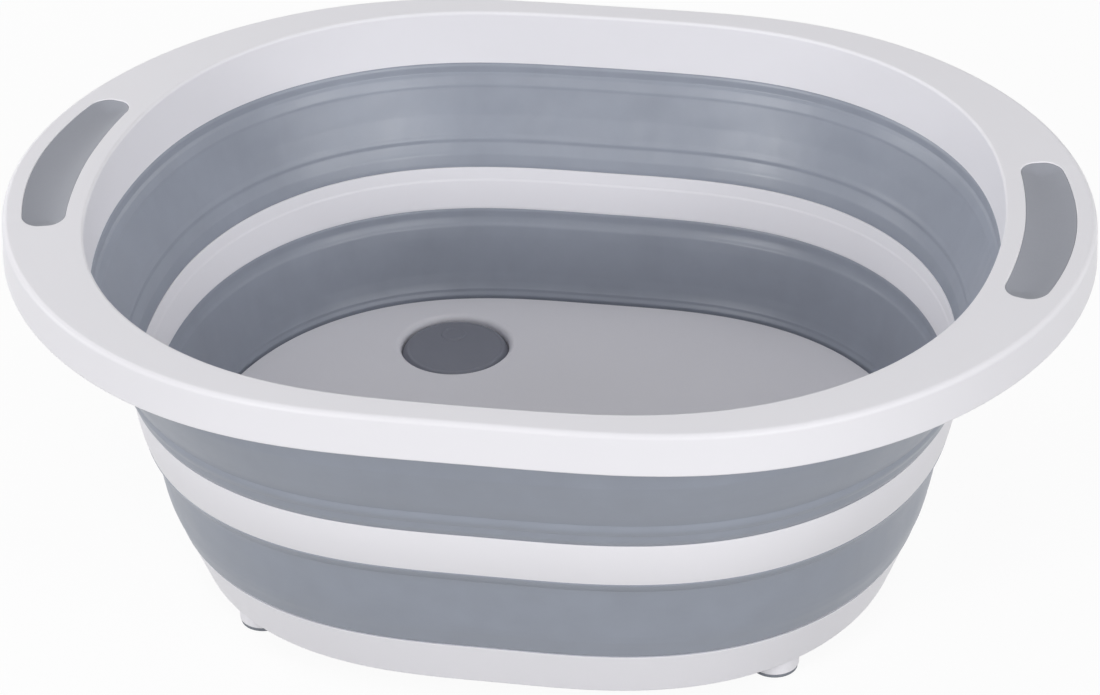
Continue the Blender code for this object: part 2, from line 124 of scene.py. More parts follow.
baseInset = shared["upperStep"] + shared["ringDraft"] + shared["lowerStep"]
outerPlan = oval(halfLength, halfWidth, planShares["outer"])
skirtPlan = oval(rimBox[1].x, rimBox[1].y, planShares["outer"])
openingPlan = oval(
    halfLength - shared["endFlange"], halfWidth - shared["sideFlange"], planShares["opening"]
)
openingFootPlan = oval(footLength, footWidth, planShares["opening"])
ringTopPlan = nest(shared["upperStep"])
ringFootPlan = nest(shared["upperStep"] + shared["ringDraft"])
basePlan = nest(baseInset)
baseFootPlan = nest(baseInset + shared["baseDraftEnd"], baseInset + shared["baseDraftSide"])


def planPlaces(plan, angles, outward):
    # Points of the plan, moved square to the oval by the outward distance
    probe = turn / 7200  # a twentieth of a degree
    reach = plan(angles)
    change = (plan(angles + probe) - plan(angles - probe)) / (2 * probe)
    ray = np.stack([np.cos(angles), np.sin(angles)], -1)
    side = np.stack([-ray[..., 1], ray[..., 0]], -1)
    normal = ray * reach[..., None] - side * change[..., None]
    normal /= np.linalg.norm(normal, axis=-1, keepdims=True)
    return ray * reach[..., None] + normal * np.asarray(outward)[..., None]


def planSpot(plan, angle, outward):
    return planPlaces(plan, np.array([angle]), [outward])[0]


bearings = np.arange(around) * turn / around


def ovalRing(plan, outward, height):
    flat = planPlaces(plan, bearings, np.full(around, outward))
    return np.column_stack([flat, np.full(around, height)])


def roundRing(centre, radius, height, steps=roundSteps):
    angles = np.arange(steps) * turn / steps
    x = centre[0] + radius * np.cos(angles)
    y = centre[1] + radius * np.sin(angles)
    return np.column_stack([x, y, np.full(steps, height)])


def length(vectors):
    return np.linalg.norm(vectors, axis=1, keepdims=True)


# The most of a side that an arc may take, and the flattest corner that is still rounded
arcLimits = {"side": 0.46, "cosine": 0.99999}


def rounded(rings, radii, closed=True, steps=arcSteps):
    # Swaps each sharp ring of a section for an arc of rings, with a radius for each
    made = []
    count = len(rings)
    for place, (ring, radius) in enumerate(zip(rings, radii)):
        atEnd = not closed and place in (0, count - 1)
        if radius == 0 or atEnd:
            made.append(ring)
            continue
        before = rings[place - 1] - ring
        after = rings[(place + 1) % count] - ring
        shorter = np.minimum(length(before), length(after))
        before = before / length(before)
        after = after / length(after)
        cosine = (before * after).sum(axis=1, keepdims=True)
        cosine = np.clip(cosine, -arcLimits["cosine"], arcLimits["cosine"])
        half = np.arccos(cosine) / 2
        cut = np.minimum(radius / np.tan(half), shorter * arcLimits["side"])
        bisector = before + after
        bisector = bisector / length(bisector)
        centre = ring + bisector * cut / np.cos(half)
        start = ring + before * cut - centre
        end = ring + after * cut - centre
        spread = math.pi - 2 * half
        for share in np.linspace(0, 1, steps + 1):
            near = np.sin((1 - share) * spread) / np.sin(spread)
            far = np.sin(share * spread) / np.sin(spread)
            made.append(centre + start * near + end * far)
    return made


# Meshes
def linked(name, data):
    made = bpy.data.objects.new(name, data)
    bpy.context.scene.collection.objects.link(made)
    return made


def loft(name, rings, closed=True):
    # Skin over a stack of rings. An open stack gets a flat face at each end.
    size = len(rings[0])
    count = len(rings)
    levels = np.arange(count if closed else count - 1)[:, None] * size
    above = (levels + size) % (count * size)
    step = np.arange(size)[None, :]
    beside = (step + 1) % size
    faces = np.stack([levels + step, levels + beside, above + beside, above + step], -1)
    faces = faces.reshape(-1, 4).tolist()
    if not closed:
        faces.append(list(range(size)))
        faces.append(list(range((count - 1) * size, count * size)))
    mesh = bpy.data.meshes.new(name)
    mesh.from_pydata(np.concatenate(rings).tolist(), [], faces)
    outwardFaces(mesh)
    return linked(name, mesh)


def outwardFaces(mesh):
    shape = bmesh.new()
    shape.from_mesh(mesh)
    bmesh.ops.recalc_face_normals(shape, faces=shape.faces)
    shape.to_mesh(mesh)
    shape.free()


def turned(name, centre, profile, radii, steps=roundSteps, arc=arcSteps):
    rings = [roundRing(centre, radius, height, steps) for radius, height in profile]
    return loft(name, rounded(rings, radii, closed=False, steps=arc), closed=False)


def prism(flat, low, high):
    # Upright block over four points, for a rib or a web
    rings = [np.column_stack([flat, np.full(4, height)]) for height in (low, high)]
    return loft("rib", rings, closed=False)


def joined(pieces):
    # One mesh that holds several separate shapes, for a single cut or union
    shape = bmesh.new()
    for piece in pieces:
        shape.from_mesh(piece.data)
        bpy.data.objects.remove(piece)
    mesh = bpy.data.meshes.new("tool")
    shape.to_mesh(mesh)
    shape.free()
    return linked("tool", mesh)


def combine(piece, tool, operation):
    change = piece.modifiers.new("change", "BOOLEAN")
    change.operation = operation
    change.solver = "EXACT"
    change.object = tool
    bpy.context.view_layer.update()
    seen = piece.evaluated_get(bpy.context.evaluated_depsgraph_get())
    mesh = bpy.data.meshes.new_from_object(seen)
    piece.modifiers.clear()
    piece.data = mesh
    bpy.data.objects.remove(tool)


def dress(piece, finish, node, body=None):
    piece.data.materials.clear()
    piece.data.materials.append(finish)
    piece.data.shade_smooth()
    piece.data.set_sharp_from_angle(angle=sharpAngle)
    weighted = piece.modifiers.new("even shading", "WEIGHTED_NORMAL")
    weighted.keep_sharp = True
    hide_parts(node)
    if body is not None:
        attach(piece, body)


# Shader maths: a wrapped output takes part in sums, and each sum adds its node
class Wire:
    def __init__(self, shader, socket):
        self.shader = shader
        self.socket = socket

    def maths(self, operation, first, second):
        return self.shader.node("Math", {"operation": operation}, {0: first, 1: second})

    def __add__(self, other):
        return self.maths("ADD", self, other)

    def __sub__(self, other):
        return self.maths("SUBTRACT", self, other)

    def __rsub__(self, other):
        return self.maths("SUBTRACT", other, self)

    def __mul__(self, other):
        return self.maths("MULTIPLY", self, other)

    __radd__ = __add__
    __rmul__ = __mul__


class Shader:
    def __init__(self, owner):
        owner.use_nodes = True
        self.tree = owner.node_tree
        self.tree.nodes.clear()

    def node(self, kind, settings=None, sockets=None, output=0):
        made = self.tree.nodes.new("ShaderNode" + kind)
        for name, value in (settings or {}).items():
            if name == "stops":
                self.setStops(made.color_ramp, value)
            else:
                setattr(made, name, value)
        for key, value in (sockets or {}).items():
            self.feed(made.inputs[key], value)
        return Wire(self, made.outputs[output]) if made.outputs else None

    def setStops(self, ramp, stops):
        while len(ramp.elements) < len(stops):
            ramp.elements.new(1.0)
        for element, (place, value) in zip(ramp.elements, stops):
            element.position = place
            element.color = (value, value, value, 1)

    def feed(self, socket, value):
        if isinstance(value, Wire):
            self.tree.links.new(value.socket, socket)
        elif socket.type == "RGBA":
            socket.default_value = (*value, 1)
        else:
            socket.default_value = value

    def noise(self, where, size, detail, roughness=0.55):
        # Soft random values, about 0.5, whose lumps are of the given size in metres
        sockets = {"Vector": where, "Scale": 1 / size, "Detail": detail, "Roughness": roughness}
        return self.node("TexNoise", None, sockets)

    def ramp(self, value, *stops):
        return self.node("ValToRGB", {"stops": stops}, {0: value})

    def mixed(self, share, first, second, blend="MIX"):
        settings = {"data_type": "RGBA", "blend_type": blend}
        return self.node("Mix", settings, {0: share, 6: first, 7: second}, 2)

    def bump(self, height, distance, normal=None):
        sockets = {"Height": height, "Distance": distance, "Strength": 1.0}
        if normal is not None:
            sockets["Normal"] = normal
        return self.node("Bump", None, sockets)


def tint(colour, share):
    return tuple(min(1.0, channel * share) for channel in colour)


# What all the moulded finishes share
moulding = {
    "driftDetail": 2.0, "blotchDetail": 4.0, "grainDetail": 2.0, "grainRoughness": 0.6,
    "pitSize": 3.1, "pitDetail": 5.0, "pitRoughness": 0.65, "pitShare": 0.4, "pitPolish": 0.10,
    "edgeFrom": 0.505, "edgeFull": 0.56, "waveDetail": 1.5,
}
middle = 0.5  # of a noise's values


def plastic(name, look, where=None, patchMask=None):
    # Satin moulded plastic or soft rubber: mould grain, slow colour drift and handled edges
    made = bpy.data.materials.new(name)
    shader = Shader(made)
    if where is None:
        place = shader.node("TexCoord", output="Object")
    else:
        place = shader.node("Attribute", {"attribute_name": where}, output="Vector")
    drift = shader.noise(place, look["driftSize"], moulding["driftDetail"])
    blotch = shader.noise(place, look["blotchSize"], moulding["blotchDetail"])
    grain = shader.noise(
        place, look["grainSize"], moulding["grainDetail"], moulding["grainRoughness"]
    )
    pitSize = look["grainSize"] * moulding["pitSize"]
    pits = shader.noise(place, pitSize, moulding["pitDetail"], moulding["pitRoughness"])
    bend = shader.node("NewGeometry", output="Pointiness")
    edge = shader.ramp(bend, (moulding["edgeFrom"], 0), (moulding["edgeFull"], 1))

    plain = look["colour"]
    colour = shader.mixed(drift, tint(plain, 1 - look["drift"]), tint(plain, 1 + look["drift"]))
    level = (grain - middle) * look["speckle"] + (blotch - middle) * look["blotch"] + 1.0
    level = shader.node("CombineXYZ", None, {0: level, 1: level, 2: level})
    colour = shader.mixed(1.0, colour, level, "MULTIPLY")
    colour = shader.mixed(edge * look["edgeShare"], colour, tint(plain, look["edgeTint"]))
    roughness = look["roughness"] + (blotch - middle) * look["roughnessDrift"]
    roughness = roughness + (pits - middle) * moulding["pitPolish"]
    roughness = roughness - edge * look["edgePolish"]

    height = grain * (1 - moulding["pitShare"]) + pits * moulding["pitShare"]
    if patchMask is not None:
        mask = patchMask(shader, place)
        texture = shader.noise(
            place, look["floorGrain"], look["floorDetail"], look["floorLumps"]
        )
        height = height * (1 - mask) + texture * mask * look["floorDepth"]
        roughness = roughness + mask * look["floorRoughness"]
    normal = shader.bump(height, look["grainDepth"])
    flow = shader.node("VectorMath", {"operation": "MULTIPLY"}, {0: place, 1: look["waveStretch"]})
    wave = shader.noise(flow, look["waveSize"], moulding["waveDetail"])
    normal = shader.bump(wave, look["waveDepth"], normal)
    skin = shader.node("BsdfPrincipled", None, {
        "Base Color": colour, "Roughness": roughness, "Normal": normal,
        "Specular IOR Level": look["gloss"],
    })
    shader.node("OutputMaterial", None, {"Surface": skin})
    return made


# Finishes: sizes and depths in metres, drifts and tints as shares of the colour
whiteLook = {
    "colour": (0.805, 0.797, 0.835), "drift": 0.010, "driftSize": 0.11, "blotch": 0.012,
    "blotchSize": 0.016, "speckle": 0.010, "grainSize": 0.00035, "grainDepth": 0.000012,
    "roughness": 0.42, "roughnessDrift": 0.10, "edgeShare": 0.5, "edgeTint": 1.02,
    "edgePolish": 0.05, "waveSize": 0.028, "waveDepth": 0.00012, "gloss": 0.26,
    "waveStretch": (1, 1, 1),
}
# The base's raised floor has a coarser texture than the rest of the white plastic. Its colour is a
# lighter copy of the white, painted light that brightens the basin floor in the walls' shade; the
# copy covers the whole base.
floorLook = {
    "colour": (0.842, 0.833, 0.873), "floorGrain": 0.0006, "floorDetail": 3.0,
    "floorLumps": 0.7, "floorDepth": 2.4, "floorRoughness": 0.14, "floorReach": 0.2 * mm,
}
wallLook = {
    "colour": (0.275, 0.299, 0.354), "drift": 0.06, "driftSize": 0.05, "blotch": 0.14,
    "blotchSize": 0.012, "speckle": 0.02, "grainSize": 0.0003, "grainDepth": 0.000016,
    "roughness": 0.38, "roughnessDrift": 0.22, "edgeShare": 0.35, "edgeTint": 1.12,
    "edgePolish": 0.05, "waveSize": 0.017, "waveDepth": 0.00050, "gloss": 0.45,
    "waveStretch": (1, 1, 0.22),
}
gripLook = {
    "colour": (0.306, 0.317, 0.358), "drift": 0.03, "driftSize": 0.03, "blotch": 0.04,
    "blotchSize": 0.006, "speckle": 0.06, "grainSize": 0.0006, "grainDepth": 0.00005,
    "roughness": 0.60, "roughnessDrift": 0.10, "edgeShare": 0.4, "edgeTint": 1.15,
    "edgePolish": 0.08, "waveSize": 0.010, "waveDepth": 0.00008, "gloss": 0.35,
    "waveStretch": (1, 1, 1),
}
plugLook = {
    "colour": (0.222, 0.231, 0.272), "drift": 0.03, "driftSize": 0.02, "blotch": 0.05,
    "blotchSize": 0.005, "speckle": 0.05, "grainSize": 0.0004, "grainDepth": 0.00003,
    "roughness": 0.50, "roughnessDrift": 0.12, "edgeShare": 0.5, "edgeTint": 1.3,
    "edgePolish": 0.08, "waveSize": 0.008, "waveDepth": 0.00006, "gloss": 0.4,
    "waveStretch": (1, 1, 1),
}
padLook = {
    "colour": (0.190, 0.205, 0.235), "drift": 0.03, "driftSize": 0.01, "blotch": 0.06,
    "blotchSize": 0.003, "speckle": 0.06, "grainSize": 0.0004, "grainDepth": 0.00004,
    "roughness": 0.66, "roughnessDrift": 0.12, "edgeShare": 0.5, "edgeTint": 1.25,
    "edgePolish": 0.06, "waveSize": 0.004, "waveDepth": 0.00004, "gloss": 0.35,
    "waveStretch": (1, 1, 1),
}


def floorMask(shader, place):
    # 1 on the raised floor's top, 0 elsewhere on the base
    height = shader.node("SeparateXYZ", None, {0: place}, "Z")
    near = {0: height, 1: floorTop, 2: floorLook["floorReach"]}
    return shader.node("Math", {"operation": "COMPARE"}, near)


white = plastic("satinWhite", whiteLook)
# The whole base takes the lighter white: painted light on the shaded basin floor
floorWhite = plastic("satinWhiteFloor", {**whiteLook, **floorLook}, None, floorMask)
softGrey = plastic("softGreyWall", wallLook, "restPlace")
gripGrey = plastic("gripGrey", gripLook)
plugGrey = plastic("plugGrey", plugLook)
padGrey = plastic("footRubber", padLook)
print("finishes made")


# Tongue that stands on a hard edge inside the soft wall, leaning as that wall does
def tongue(plan, edge, farPlan, farEdge):
    near = (shared["seamWall"] - shared["tongueWall"]) / 2
    far = near + shared["tongueWall"]
    tipPlan = between(plan, farPlan, shared["tongueHeight"] / abs(farEdge - edge))
    tip = edge + math.copysign(shared["tongueHeight"], farEdge - edge)
    return [(plan, near, edge), (tipPlan, near, tip), (tipPlan, far, tip), (plan, far, edge)]


def section(name, stations, radii, closed=True, steps=arcSteps):
    rings = [ovalRing(*station) for station in stations]
    return loft(name, rounded(rings, radii, closed, steps), closed)


rimSizes = millimetres(
    flangeWall=2.5, skirtWall=2.2, skirtDepth=14.9, outerEdge=2.2, innerEdge=1.3,
    skirtEdge=0.6, underFillet=1.0, seamEdge=0.15,
    ribDepth=6.0, ribWall=1.6, ribSink=0.8, windowEdge=0.4, windowGap=0.04, overrun=3.0,
)
ribAngles = [math.radians(angle) for angle in (34, 44, 54)]


def makeRim():
    under = rimTop - rimSizes["flangeWall"]
    skirtFoot = rimTop - rimSizes["skirtDepth"]
    wall = shared["seamWall"]
    skirtWall = rimSizes["skirtWall"]
    seam = rimSizes["seamEdge"]
    stations = [
        (openingFootPlan, 0.0, rimFoot),
        (openingPlan, 0.0, rimTop),
        (outerPlan, 0.0, rimTop),
        (skirtPlan, 0.0, skirtFoot),
        (skirtPlan, -skirtWall, skirtFoot),
        (outerPlan, -skirtWall, under),
        (openingPlan, wall, under),
        (openingFootPlan, wall, rimFoot),
    ]
    stations += tongue(openingFootPlan, rimFoot, ringTopPlan, ringTop)[::-1]
    skirtEdge = rimSizes["skirtEdge"]
    fillet = rimSizes["underFillet"]
    radii = [seam, rimSizes["innerEdge"], rimSizes["outerEdge"], skirtEdge, skirtEdge]
    radii += [fillet, fillet, seam, 0, 0, 0, 0]
    piece = section("rimShell", stations, radii, steps=fineArcSteps)
    combine(piece, flangeRibs(under), "UNION")
    for end in (0.0, math.pi):
        combine(piece, gripWindow(end), "DIFFERENCE")
    dress(piece, white, "rim", "rim")


def flangeRibs(under):
    # Thin webs from the inner wall to the skirt, beside the hand grips
    ribs = []
    low = under - rimSizes["ribDepth"]
    high = under + rimSizes["ribSink"]
    sink = rimSizes["ribSink"]
    for corner in ribAngles:
        for angle in (corner, math.pi - corner, math.pi + corner, turn - corner):
            inner = planSpot(openingPlan, angle, shared["seamWall"] - sink)
            outer = planSpot(outerPlan, angle, sink - rimSizes["skirtWall"])
            run = outer - inner
            across = np.array([-run[1], run[0]]) / np.linalg.norm(run) * rimSizes["ribWall"] / 2
            flat = np.array([inner - across, outer - across, outer + across, inner + across])
            ribs.append(prism(flat, low, high))
    return joined(ribs)


gripSizes = millimetres(
    halfSpan=50.5, margin=7.3, corner=7.5, dish=2.0, edgeDrop=0.3, edgeRadius=0.2,
    lipWidth=2.4, lipWall=1.6,
)
gripCounts = {"corner": 12, "side": 55, "inset": 18, "edge": 7, "windowEdge": 6}
dishReach = 0.96  # share of the pad's half width that its rings cover
halfAcross = (shared["endFlange"] - 2 * gripSizes["margin"]) / 2


def gripRing(end, grow, height):
    # The pad's outline, a rounded bar that follows the flange round the end of the oval
    span = gripSizes["halfSpan"] + grow
    across = halfAcross + grow
    corner = min(max(gripSizes["corner"] + grow, shared["seamGap"]), across)
    u, v = [], []
    for side, (signU, signV) in enumerate(((1, 1), (-1, 1), (-1, -1), (1, -1))):
        steps = np.arange(gripCounts["corner"] + 1) / gripCounts["corner"]
        angles = math.pi / 2 * (side + steps)
        u += list(signU * (span - corner) + corner * np.cos(angles))
        v += list(signV * (across - corner) + corner * np.sin(angles))
        if side in (0, 2):
            run = np.linspace(1, -1, gripCounts["side"] + 1)[1:-1]
            u += list(signU * (span - corner) * run)
            v += [signV * across] * len(run)
    u, v = np.array(u), np.array(v)
    angle = end + u / (halfLength - shared["endFlange"] / 2)
    low = openingPlan(angle) + gripSizes["margin"]
    high = outerPlan(angle) - gripSizes["margin"]
    reach = low + (high - low) * (v / halfAcross + 1) / 2
    x, y = reach * np.cos(angle), reach * np.sin(angle)
    return np.column_stack([x, y, np.full(len(u), height)])


def gripWindow(end):
    # The hole in the flange that a grip fills, with a rolled upper edge
    low = rimTop - rimSizes["flangeWall"] - rimSizes["overrun"]
    gap = rimSizes["windowGap"]
    edge = rimSizes["windowEdge"]
    rings = [gripRing(end, gap, low)]
    for angle in np.linspace(0, math.pi / 2, gripCounts["windowEdge"]):
        grow = gap + edge * (1 - math.cos(angle))
        rings.append(gripRing(end, grow, rimTop - edge * (1 - math.sin(angle))))
    rings.append(gripRing(end, gap + edge, rimTop + rimSizes["overrun"]))
    return loft("window", rings, closed=False)


def makeGrip(name, node, end):
    # A pad with a lip under the flange, rounded at its top edge and dished towards its middle
    under = rimTop - rimSizes["flangeWall"] - shared["seamGap"]
    lip = gripSizes["lipWidth"]
    edge = gripSizes["edgeRadius"]
    top = rimTop - gripSizes["edgeDrop"]
    rings = [
        gripRing(end, lip, under - gripSizes["lipWall"]),
        gripRing(end, lip, under),
        gripRing(end, 0.0, under),
    ]
    for angle in np.linspace(0, math.pi / 2, gripCounts["edge"]):
        height = top - edge * (1 - math.sin(angle))
        rings.append(gripRing(end, -edge * (1 - math.cos(angle)), height))
    for share in np.linspace(0, dishReach, gripCounts["inset"])[1:]:
        inset = edge + (halfAcross - edge) * share
        sag = gripSizes["dish"] * (1 - (1 - share) ** 2)
        rings.append(gripRing(end, -inset, top - sag))
    dress(loft(name, rings, closed=False), gripGrey, node, "rim")


makeRim()
makeGrip("rightPad", "right_grip", 0.0)
makeGrip("leftPad", "left_grip", math.pi)
print("rim and grips made")


# Soft walls. Each face is a list of (height above the wall's foot, offset outwards) in mm,
# softened over the blur. Offsets stand off the straight line between the two hard edges.
# The panel between the two creases turns over when the real wall folds; here the wall is built
# unfolded.
upperSizes = {
    "inner": (
        (0.0, 0.25), (0.6, 0.2), (1.0, 0.05), (5.2, -0.15), (6.4, 0.1), (9.2, 0.5), (9.7, 0.5),
        (10.8, 0.1), (11.4, 0.15), (12.6, 0.4), (20.0, 0.6), (29.5, 0.3), (30.8, 0.25),
        (31.4, 0.05), (35.2, 0.45), (35.8, 0.95), (36.6, 0.72), (38.9, 0.15), (39.4, 0.35),
        (39.9, 0.4),
    ),
    "outer": (
        (0.0, 2.35), (0.5, 2.35), (1.0, 2.65), (2.6, 3.05), (4.6, 2.75), (5.8, 2.6), (6.6, 2.95),
        (8.2, 3.05), (9.6, 2.5), (10.6, 1.9), (11.4, 2.1), (15.0, 2.7), (20.0, 3.05),
        (25.0, 3.25), (30.0, 3.4), (31.9, 3.4), (33.0, 3.25), (36.0, 2.85), (39.9, 2.4),
    ),
    "creases": (10.6, 31.9), "waver": 0.05,
}
lowerSizes = {
    "inner": (
        (0.0, 0.35), (0.6, 0.3), (1.1, -0.1), (1.7, 0.1), (2.3, 0.5), (3.0, 0.55), (4.1, -0.1),
        (4.5, 0.0), (5.9, 0.45), (6.5, 0.2), (7.2, 0.5), (9.0, 0.8), (13.0, 1.0), (20.0, 0.6),
        (28.0, 0.0), (32.4, -0.1), (33.6, 0.4), (35.4, 0.65), (36.2, 0.6), (38.6, 0.05),
        (39.0, 0.25), (39.3, 0.3),
    ),
    "outer": (
        (0.0, 1.9), (0.9, 1.9), (1.4, 3.0), (2.5, 3.05), (5.5, 3.15), (8.5, 3.45), (12.0, 3.45),
        (16.0, 3.15), (20.0, 2.75), (24.0, 2.25), (28.0, 1.75), (32.6, 1.2), (34.5, 1.15),
        (35.2, 1.5), (36.4, 2.1), (38.9, 2.85), (39.3, 2.3),
    ),
    "creases": (6.5, 33.8), "waver": 0.07,
}
# In mm, apart from tails (how many blurs wide), edgeSteps and seamShare
wallFinish = {
    "blur": 0.2, "tails": 3, "sample": 0.05, "spacing": 0.6, "edge": 0.12, "edgeSteps": 4,
    "seamShare": 0.2, "slotSide": 0.1, "slotEnd": 0.2,
}
# Waves round the wall, their share, where they start, and how they lean with height
waverWaves = ((5, 1.0, 1.3, 1), (11, 0.7, 4.1, -2), (19, 0.5, 0.6, 3))


def faceRows(face):
    # The face's rows, blurred as a soft moulding is, with both ends kept
    rise, offset = np.array(face).T
    sample = np.arange(0, rise[-1], wallFinish["sample"])
    sample = np.append(sample, rise[-1])
    straight = np.interp(sample, rise, offset)
    tails = wallFinish["tails"]
    reach = int(round(tails * wallFinish["blur"] / wallFinish["sample"]))
    weights = np.exp(-0.5 * (np.arange(-reach, reach + 1) / reach * tails) ** 2)
    weights /= weights.sum()
    before = 2 * straight[0] - straight[reach:0:-1]
    after = 2 * straight[-1] - straight[-2:-reach - 2:-1]
    soft = np.convolve(np.concatenate([before, straight, after]), weights, "valid")
    heights = [rise[-1:]]
    for low, high in zip(rise[:-1], rise[1:]):
        count = math.ceil((high - low) / wallFinish["spacing"])
        heights.insert(-1, np.linspace(low, high, count + 1)[:-1])
    heights = np.concatenate(heights)
    return list(zip(heights, np.interp(heights, sample, soft)))


def waver(rise, height):
    # Slow unevenness of a soft moulding, still at both hard edges
    calm = math.sin(math.pi * rise / height) ** 0.5
    tone = rise / height * turn
    wave = 0
    for count, share, start, lean in waverWaves:
        wave = wave + share * np.sin(count * bearings + start + lean * tone)
    return wave * calm


def makeWall(name, node, sizes, lowerPlan, upperPlan, low, high):
    height = (high - low) / mm
    gap = shared["seamGap"] * wallFinish["seamShare"] / mm
    slotNear = (shared["seamWall"] - shared["tongueWall"]) / 2 / mm - wallFinish["slotSide"]
    slotFar = shared["seamWall"] / mm - slotNear
    slotEnd = shared["tongueHeight"] / mm + wallFinish["slotEnd"]
    inner = faceRows(sizes["inner"])
    outer = faceRows(sizes["outer"])[::-1]
    topSlot = [(height, slotNear), (height - slotEnd, slotNear)]
    topSlot += [(height - slotEnd, slotFar), (height, slotFar)]
    lowSlot = [(0, slotFar), (slotEnd, slotFar), (slotEnd, slotNear), (0, slotNear)]
    outerStart = len(inner) + len(topSlot)
    edges = {0, len(inner) - 1, outerStart, outerStart + len(outer) - 1}
    rings, radii = [], []
    for row, (rise, offset) in enumerate(inner + topSlot + outer + lowSlot):
        plan = between(lowerPlan, upperPlan, rise / height)
        rise = min(max(rise, gap), height - gap)
        inSlot = offset in (slotNear, slotFar)
        uneven = 0 if inSlot else waver(rise, height) * sizes["waver"]
        flat = planPlaces(plan, bearings, (offset + uneven) * mm * np.ones(around))
        rings.append(np.column_stack([flat, np.full(around, low + rise * mm)]))
        radii.append(wallFinish["edge"] * mm if row in edges else 0)
    piece = loft(name, rounded(rings, radii, steps=wallFinish["edgeSteps"]))
    keepRestPlace(piece)
    dress(piece, softGrey, node)
    start, end = (low + crease * mm for crease in sizes["creases"])
    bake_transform(piece)


def keepRestPlace(piece):
    # The finish follows the wall's own skin when the wall folds
    places = np.empty(len(piece.data.vertices) * 3, np.float32)
    piece.data.vertices.foreach_get("co", places)
    rest = piece.data.attributes.new("restPlace", "FLOAT_VECTOR", "POINT")
    rest.data.foreach_set("vector", places)


makeWall("upperWall", "upper_folding_wall", upperSizes, ringTopPlan, openingFootPlan,
         ringTop, rimFoot)
makeWall("lowerWall", "lower_folding_wall", lowerSizes, basePlan, ringFootPlan,
         shoulder, ringFoot)
print("soft walls made")


ringSizes = millimetres(step=0.22, band=4.8, slope=0.9, bow=0.75, edge=0.2, stepEdge=1.2)
ringRows = 9  # rows in the bowed outer face
bowPower = 0.8  # below 1, the bow is fuller near its edges


def makeRing():
    height = ringTop - ringFoot
    step, band, slope = ringSizes["step"], ringSizes["band"], ringSizes["slope"]
    edge, soft = ringSizes["edge"], ringSizes["stepEdge"]
    wall = shared["seamWall"]

    def at(rise, outward):
        return between(ringFootPlan, ringTopPlan, rise / height), outward, ringFoot + rise

    stations = [
        at(0.0, 0.0), at(slope, -step), at(height - band - slope, -step),
        at(height - band, 0.0), at(height, 0.0),
    ]
    stations += tongue(ringTopPlan, ringTop, openingFootPlan, rimFoot)
    radii = [edge, soft, soft, soft, edge, 0, 0, 0, 0]
    for share in np.linspace(1, 0, ringRows + 1):
        bow = ringSizes["bow"] * math.sin(math.pi * share) ** bowPower
        stations.append(at(height * share, wall + bow))
        radii.append(edge if share in (0, 1) else 0)
    stations += tongue(ringFootPlan, ringFoot, basePlan, shoulder)[::-1]
    radii += [0, 0, 0, 0]
    piece = section("middleRing", stations, radii)
    dress(piece, white, "middle_ring", "middle_ring")


makeRing()
print("middle ring made")


baseSizes = millimetres(
    footDrop=7.6, skirtWall=2.4, floorWall=2.5, floorEdge=0.6, cornerWeb=4.4, webHeight=5.7,
    skirtEdge=1.3, seamEdge=0.15, ribDepth=6.0, ribWall=2.0, ribSink=1.0,
)
longRibShare = 0.324  # how far out the two long ribs lie, as a share of the half width
baseEdgeShare = 0.6  # of the seam's gap, between the floor's edge and the soft wall
footSizes = millimetres(
    skin=1.4, postRadius=9.1, postDraft=0.3, postEdge=0.5, padRadius=8.7, padHeight=1.4,
    padEdge=0.45, padTopEdge=0.3, studRadius=3.0, studHeight=4.0, studEdge=0.3, studFillet=0.2,
    padGap=0.12, socketGap=0.3, overrun=3.0,
)
footAngle = math.radians(39.2)
drainSizes = millimetres(
    edgeGap=10.65, dishRadius=24.4, seatRadius=21.75, dishDepth=5.2, lip=2.9, holeRadius=17.5,
    bossWall=2.8, spoutHeight=4.5, spoutWall=2.2, seatFillet=0.6, edge=0.5, overrun=3.0,
    skim=0.01, seatLead=0.1,
)
drainAngle = math.radians(119.15)
# Points round the turned pieces that don't take the usual number
turnedSteps = {"post": 64, "socket": 48, "pad": 72, "plug": 144, "mark": 64}

footOutward = shared["seamWall"] - footSizes["skin"] - footSizes["postRadius"]
footSpot = planSpot(baseFootPlan, footAngle, footOutward)
footCorners = {
    "front_left": (-1, -1), "front_right": (1, -1), "rear_right": (1, 1), "rear_left": (-1, 1),
}
drainSpot = planSpot(basePlan, drainAngle, -drainSizes["dishRadius"] - drainSizes["edgeGap"])
skirtFoot = baseSizes["footDrop"]


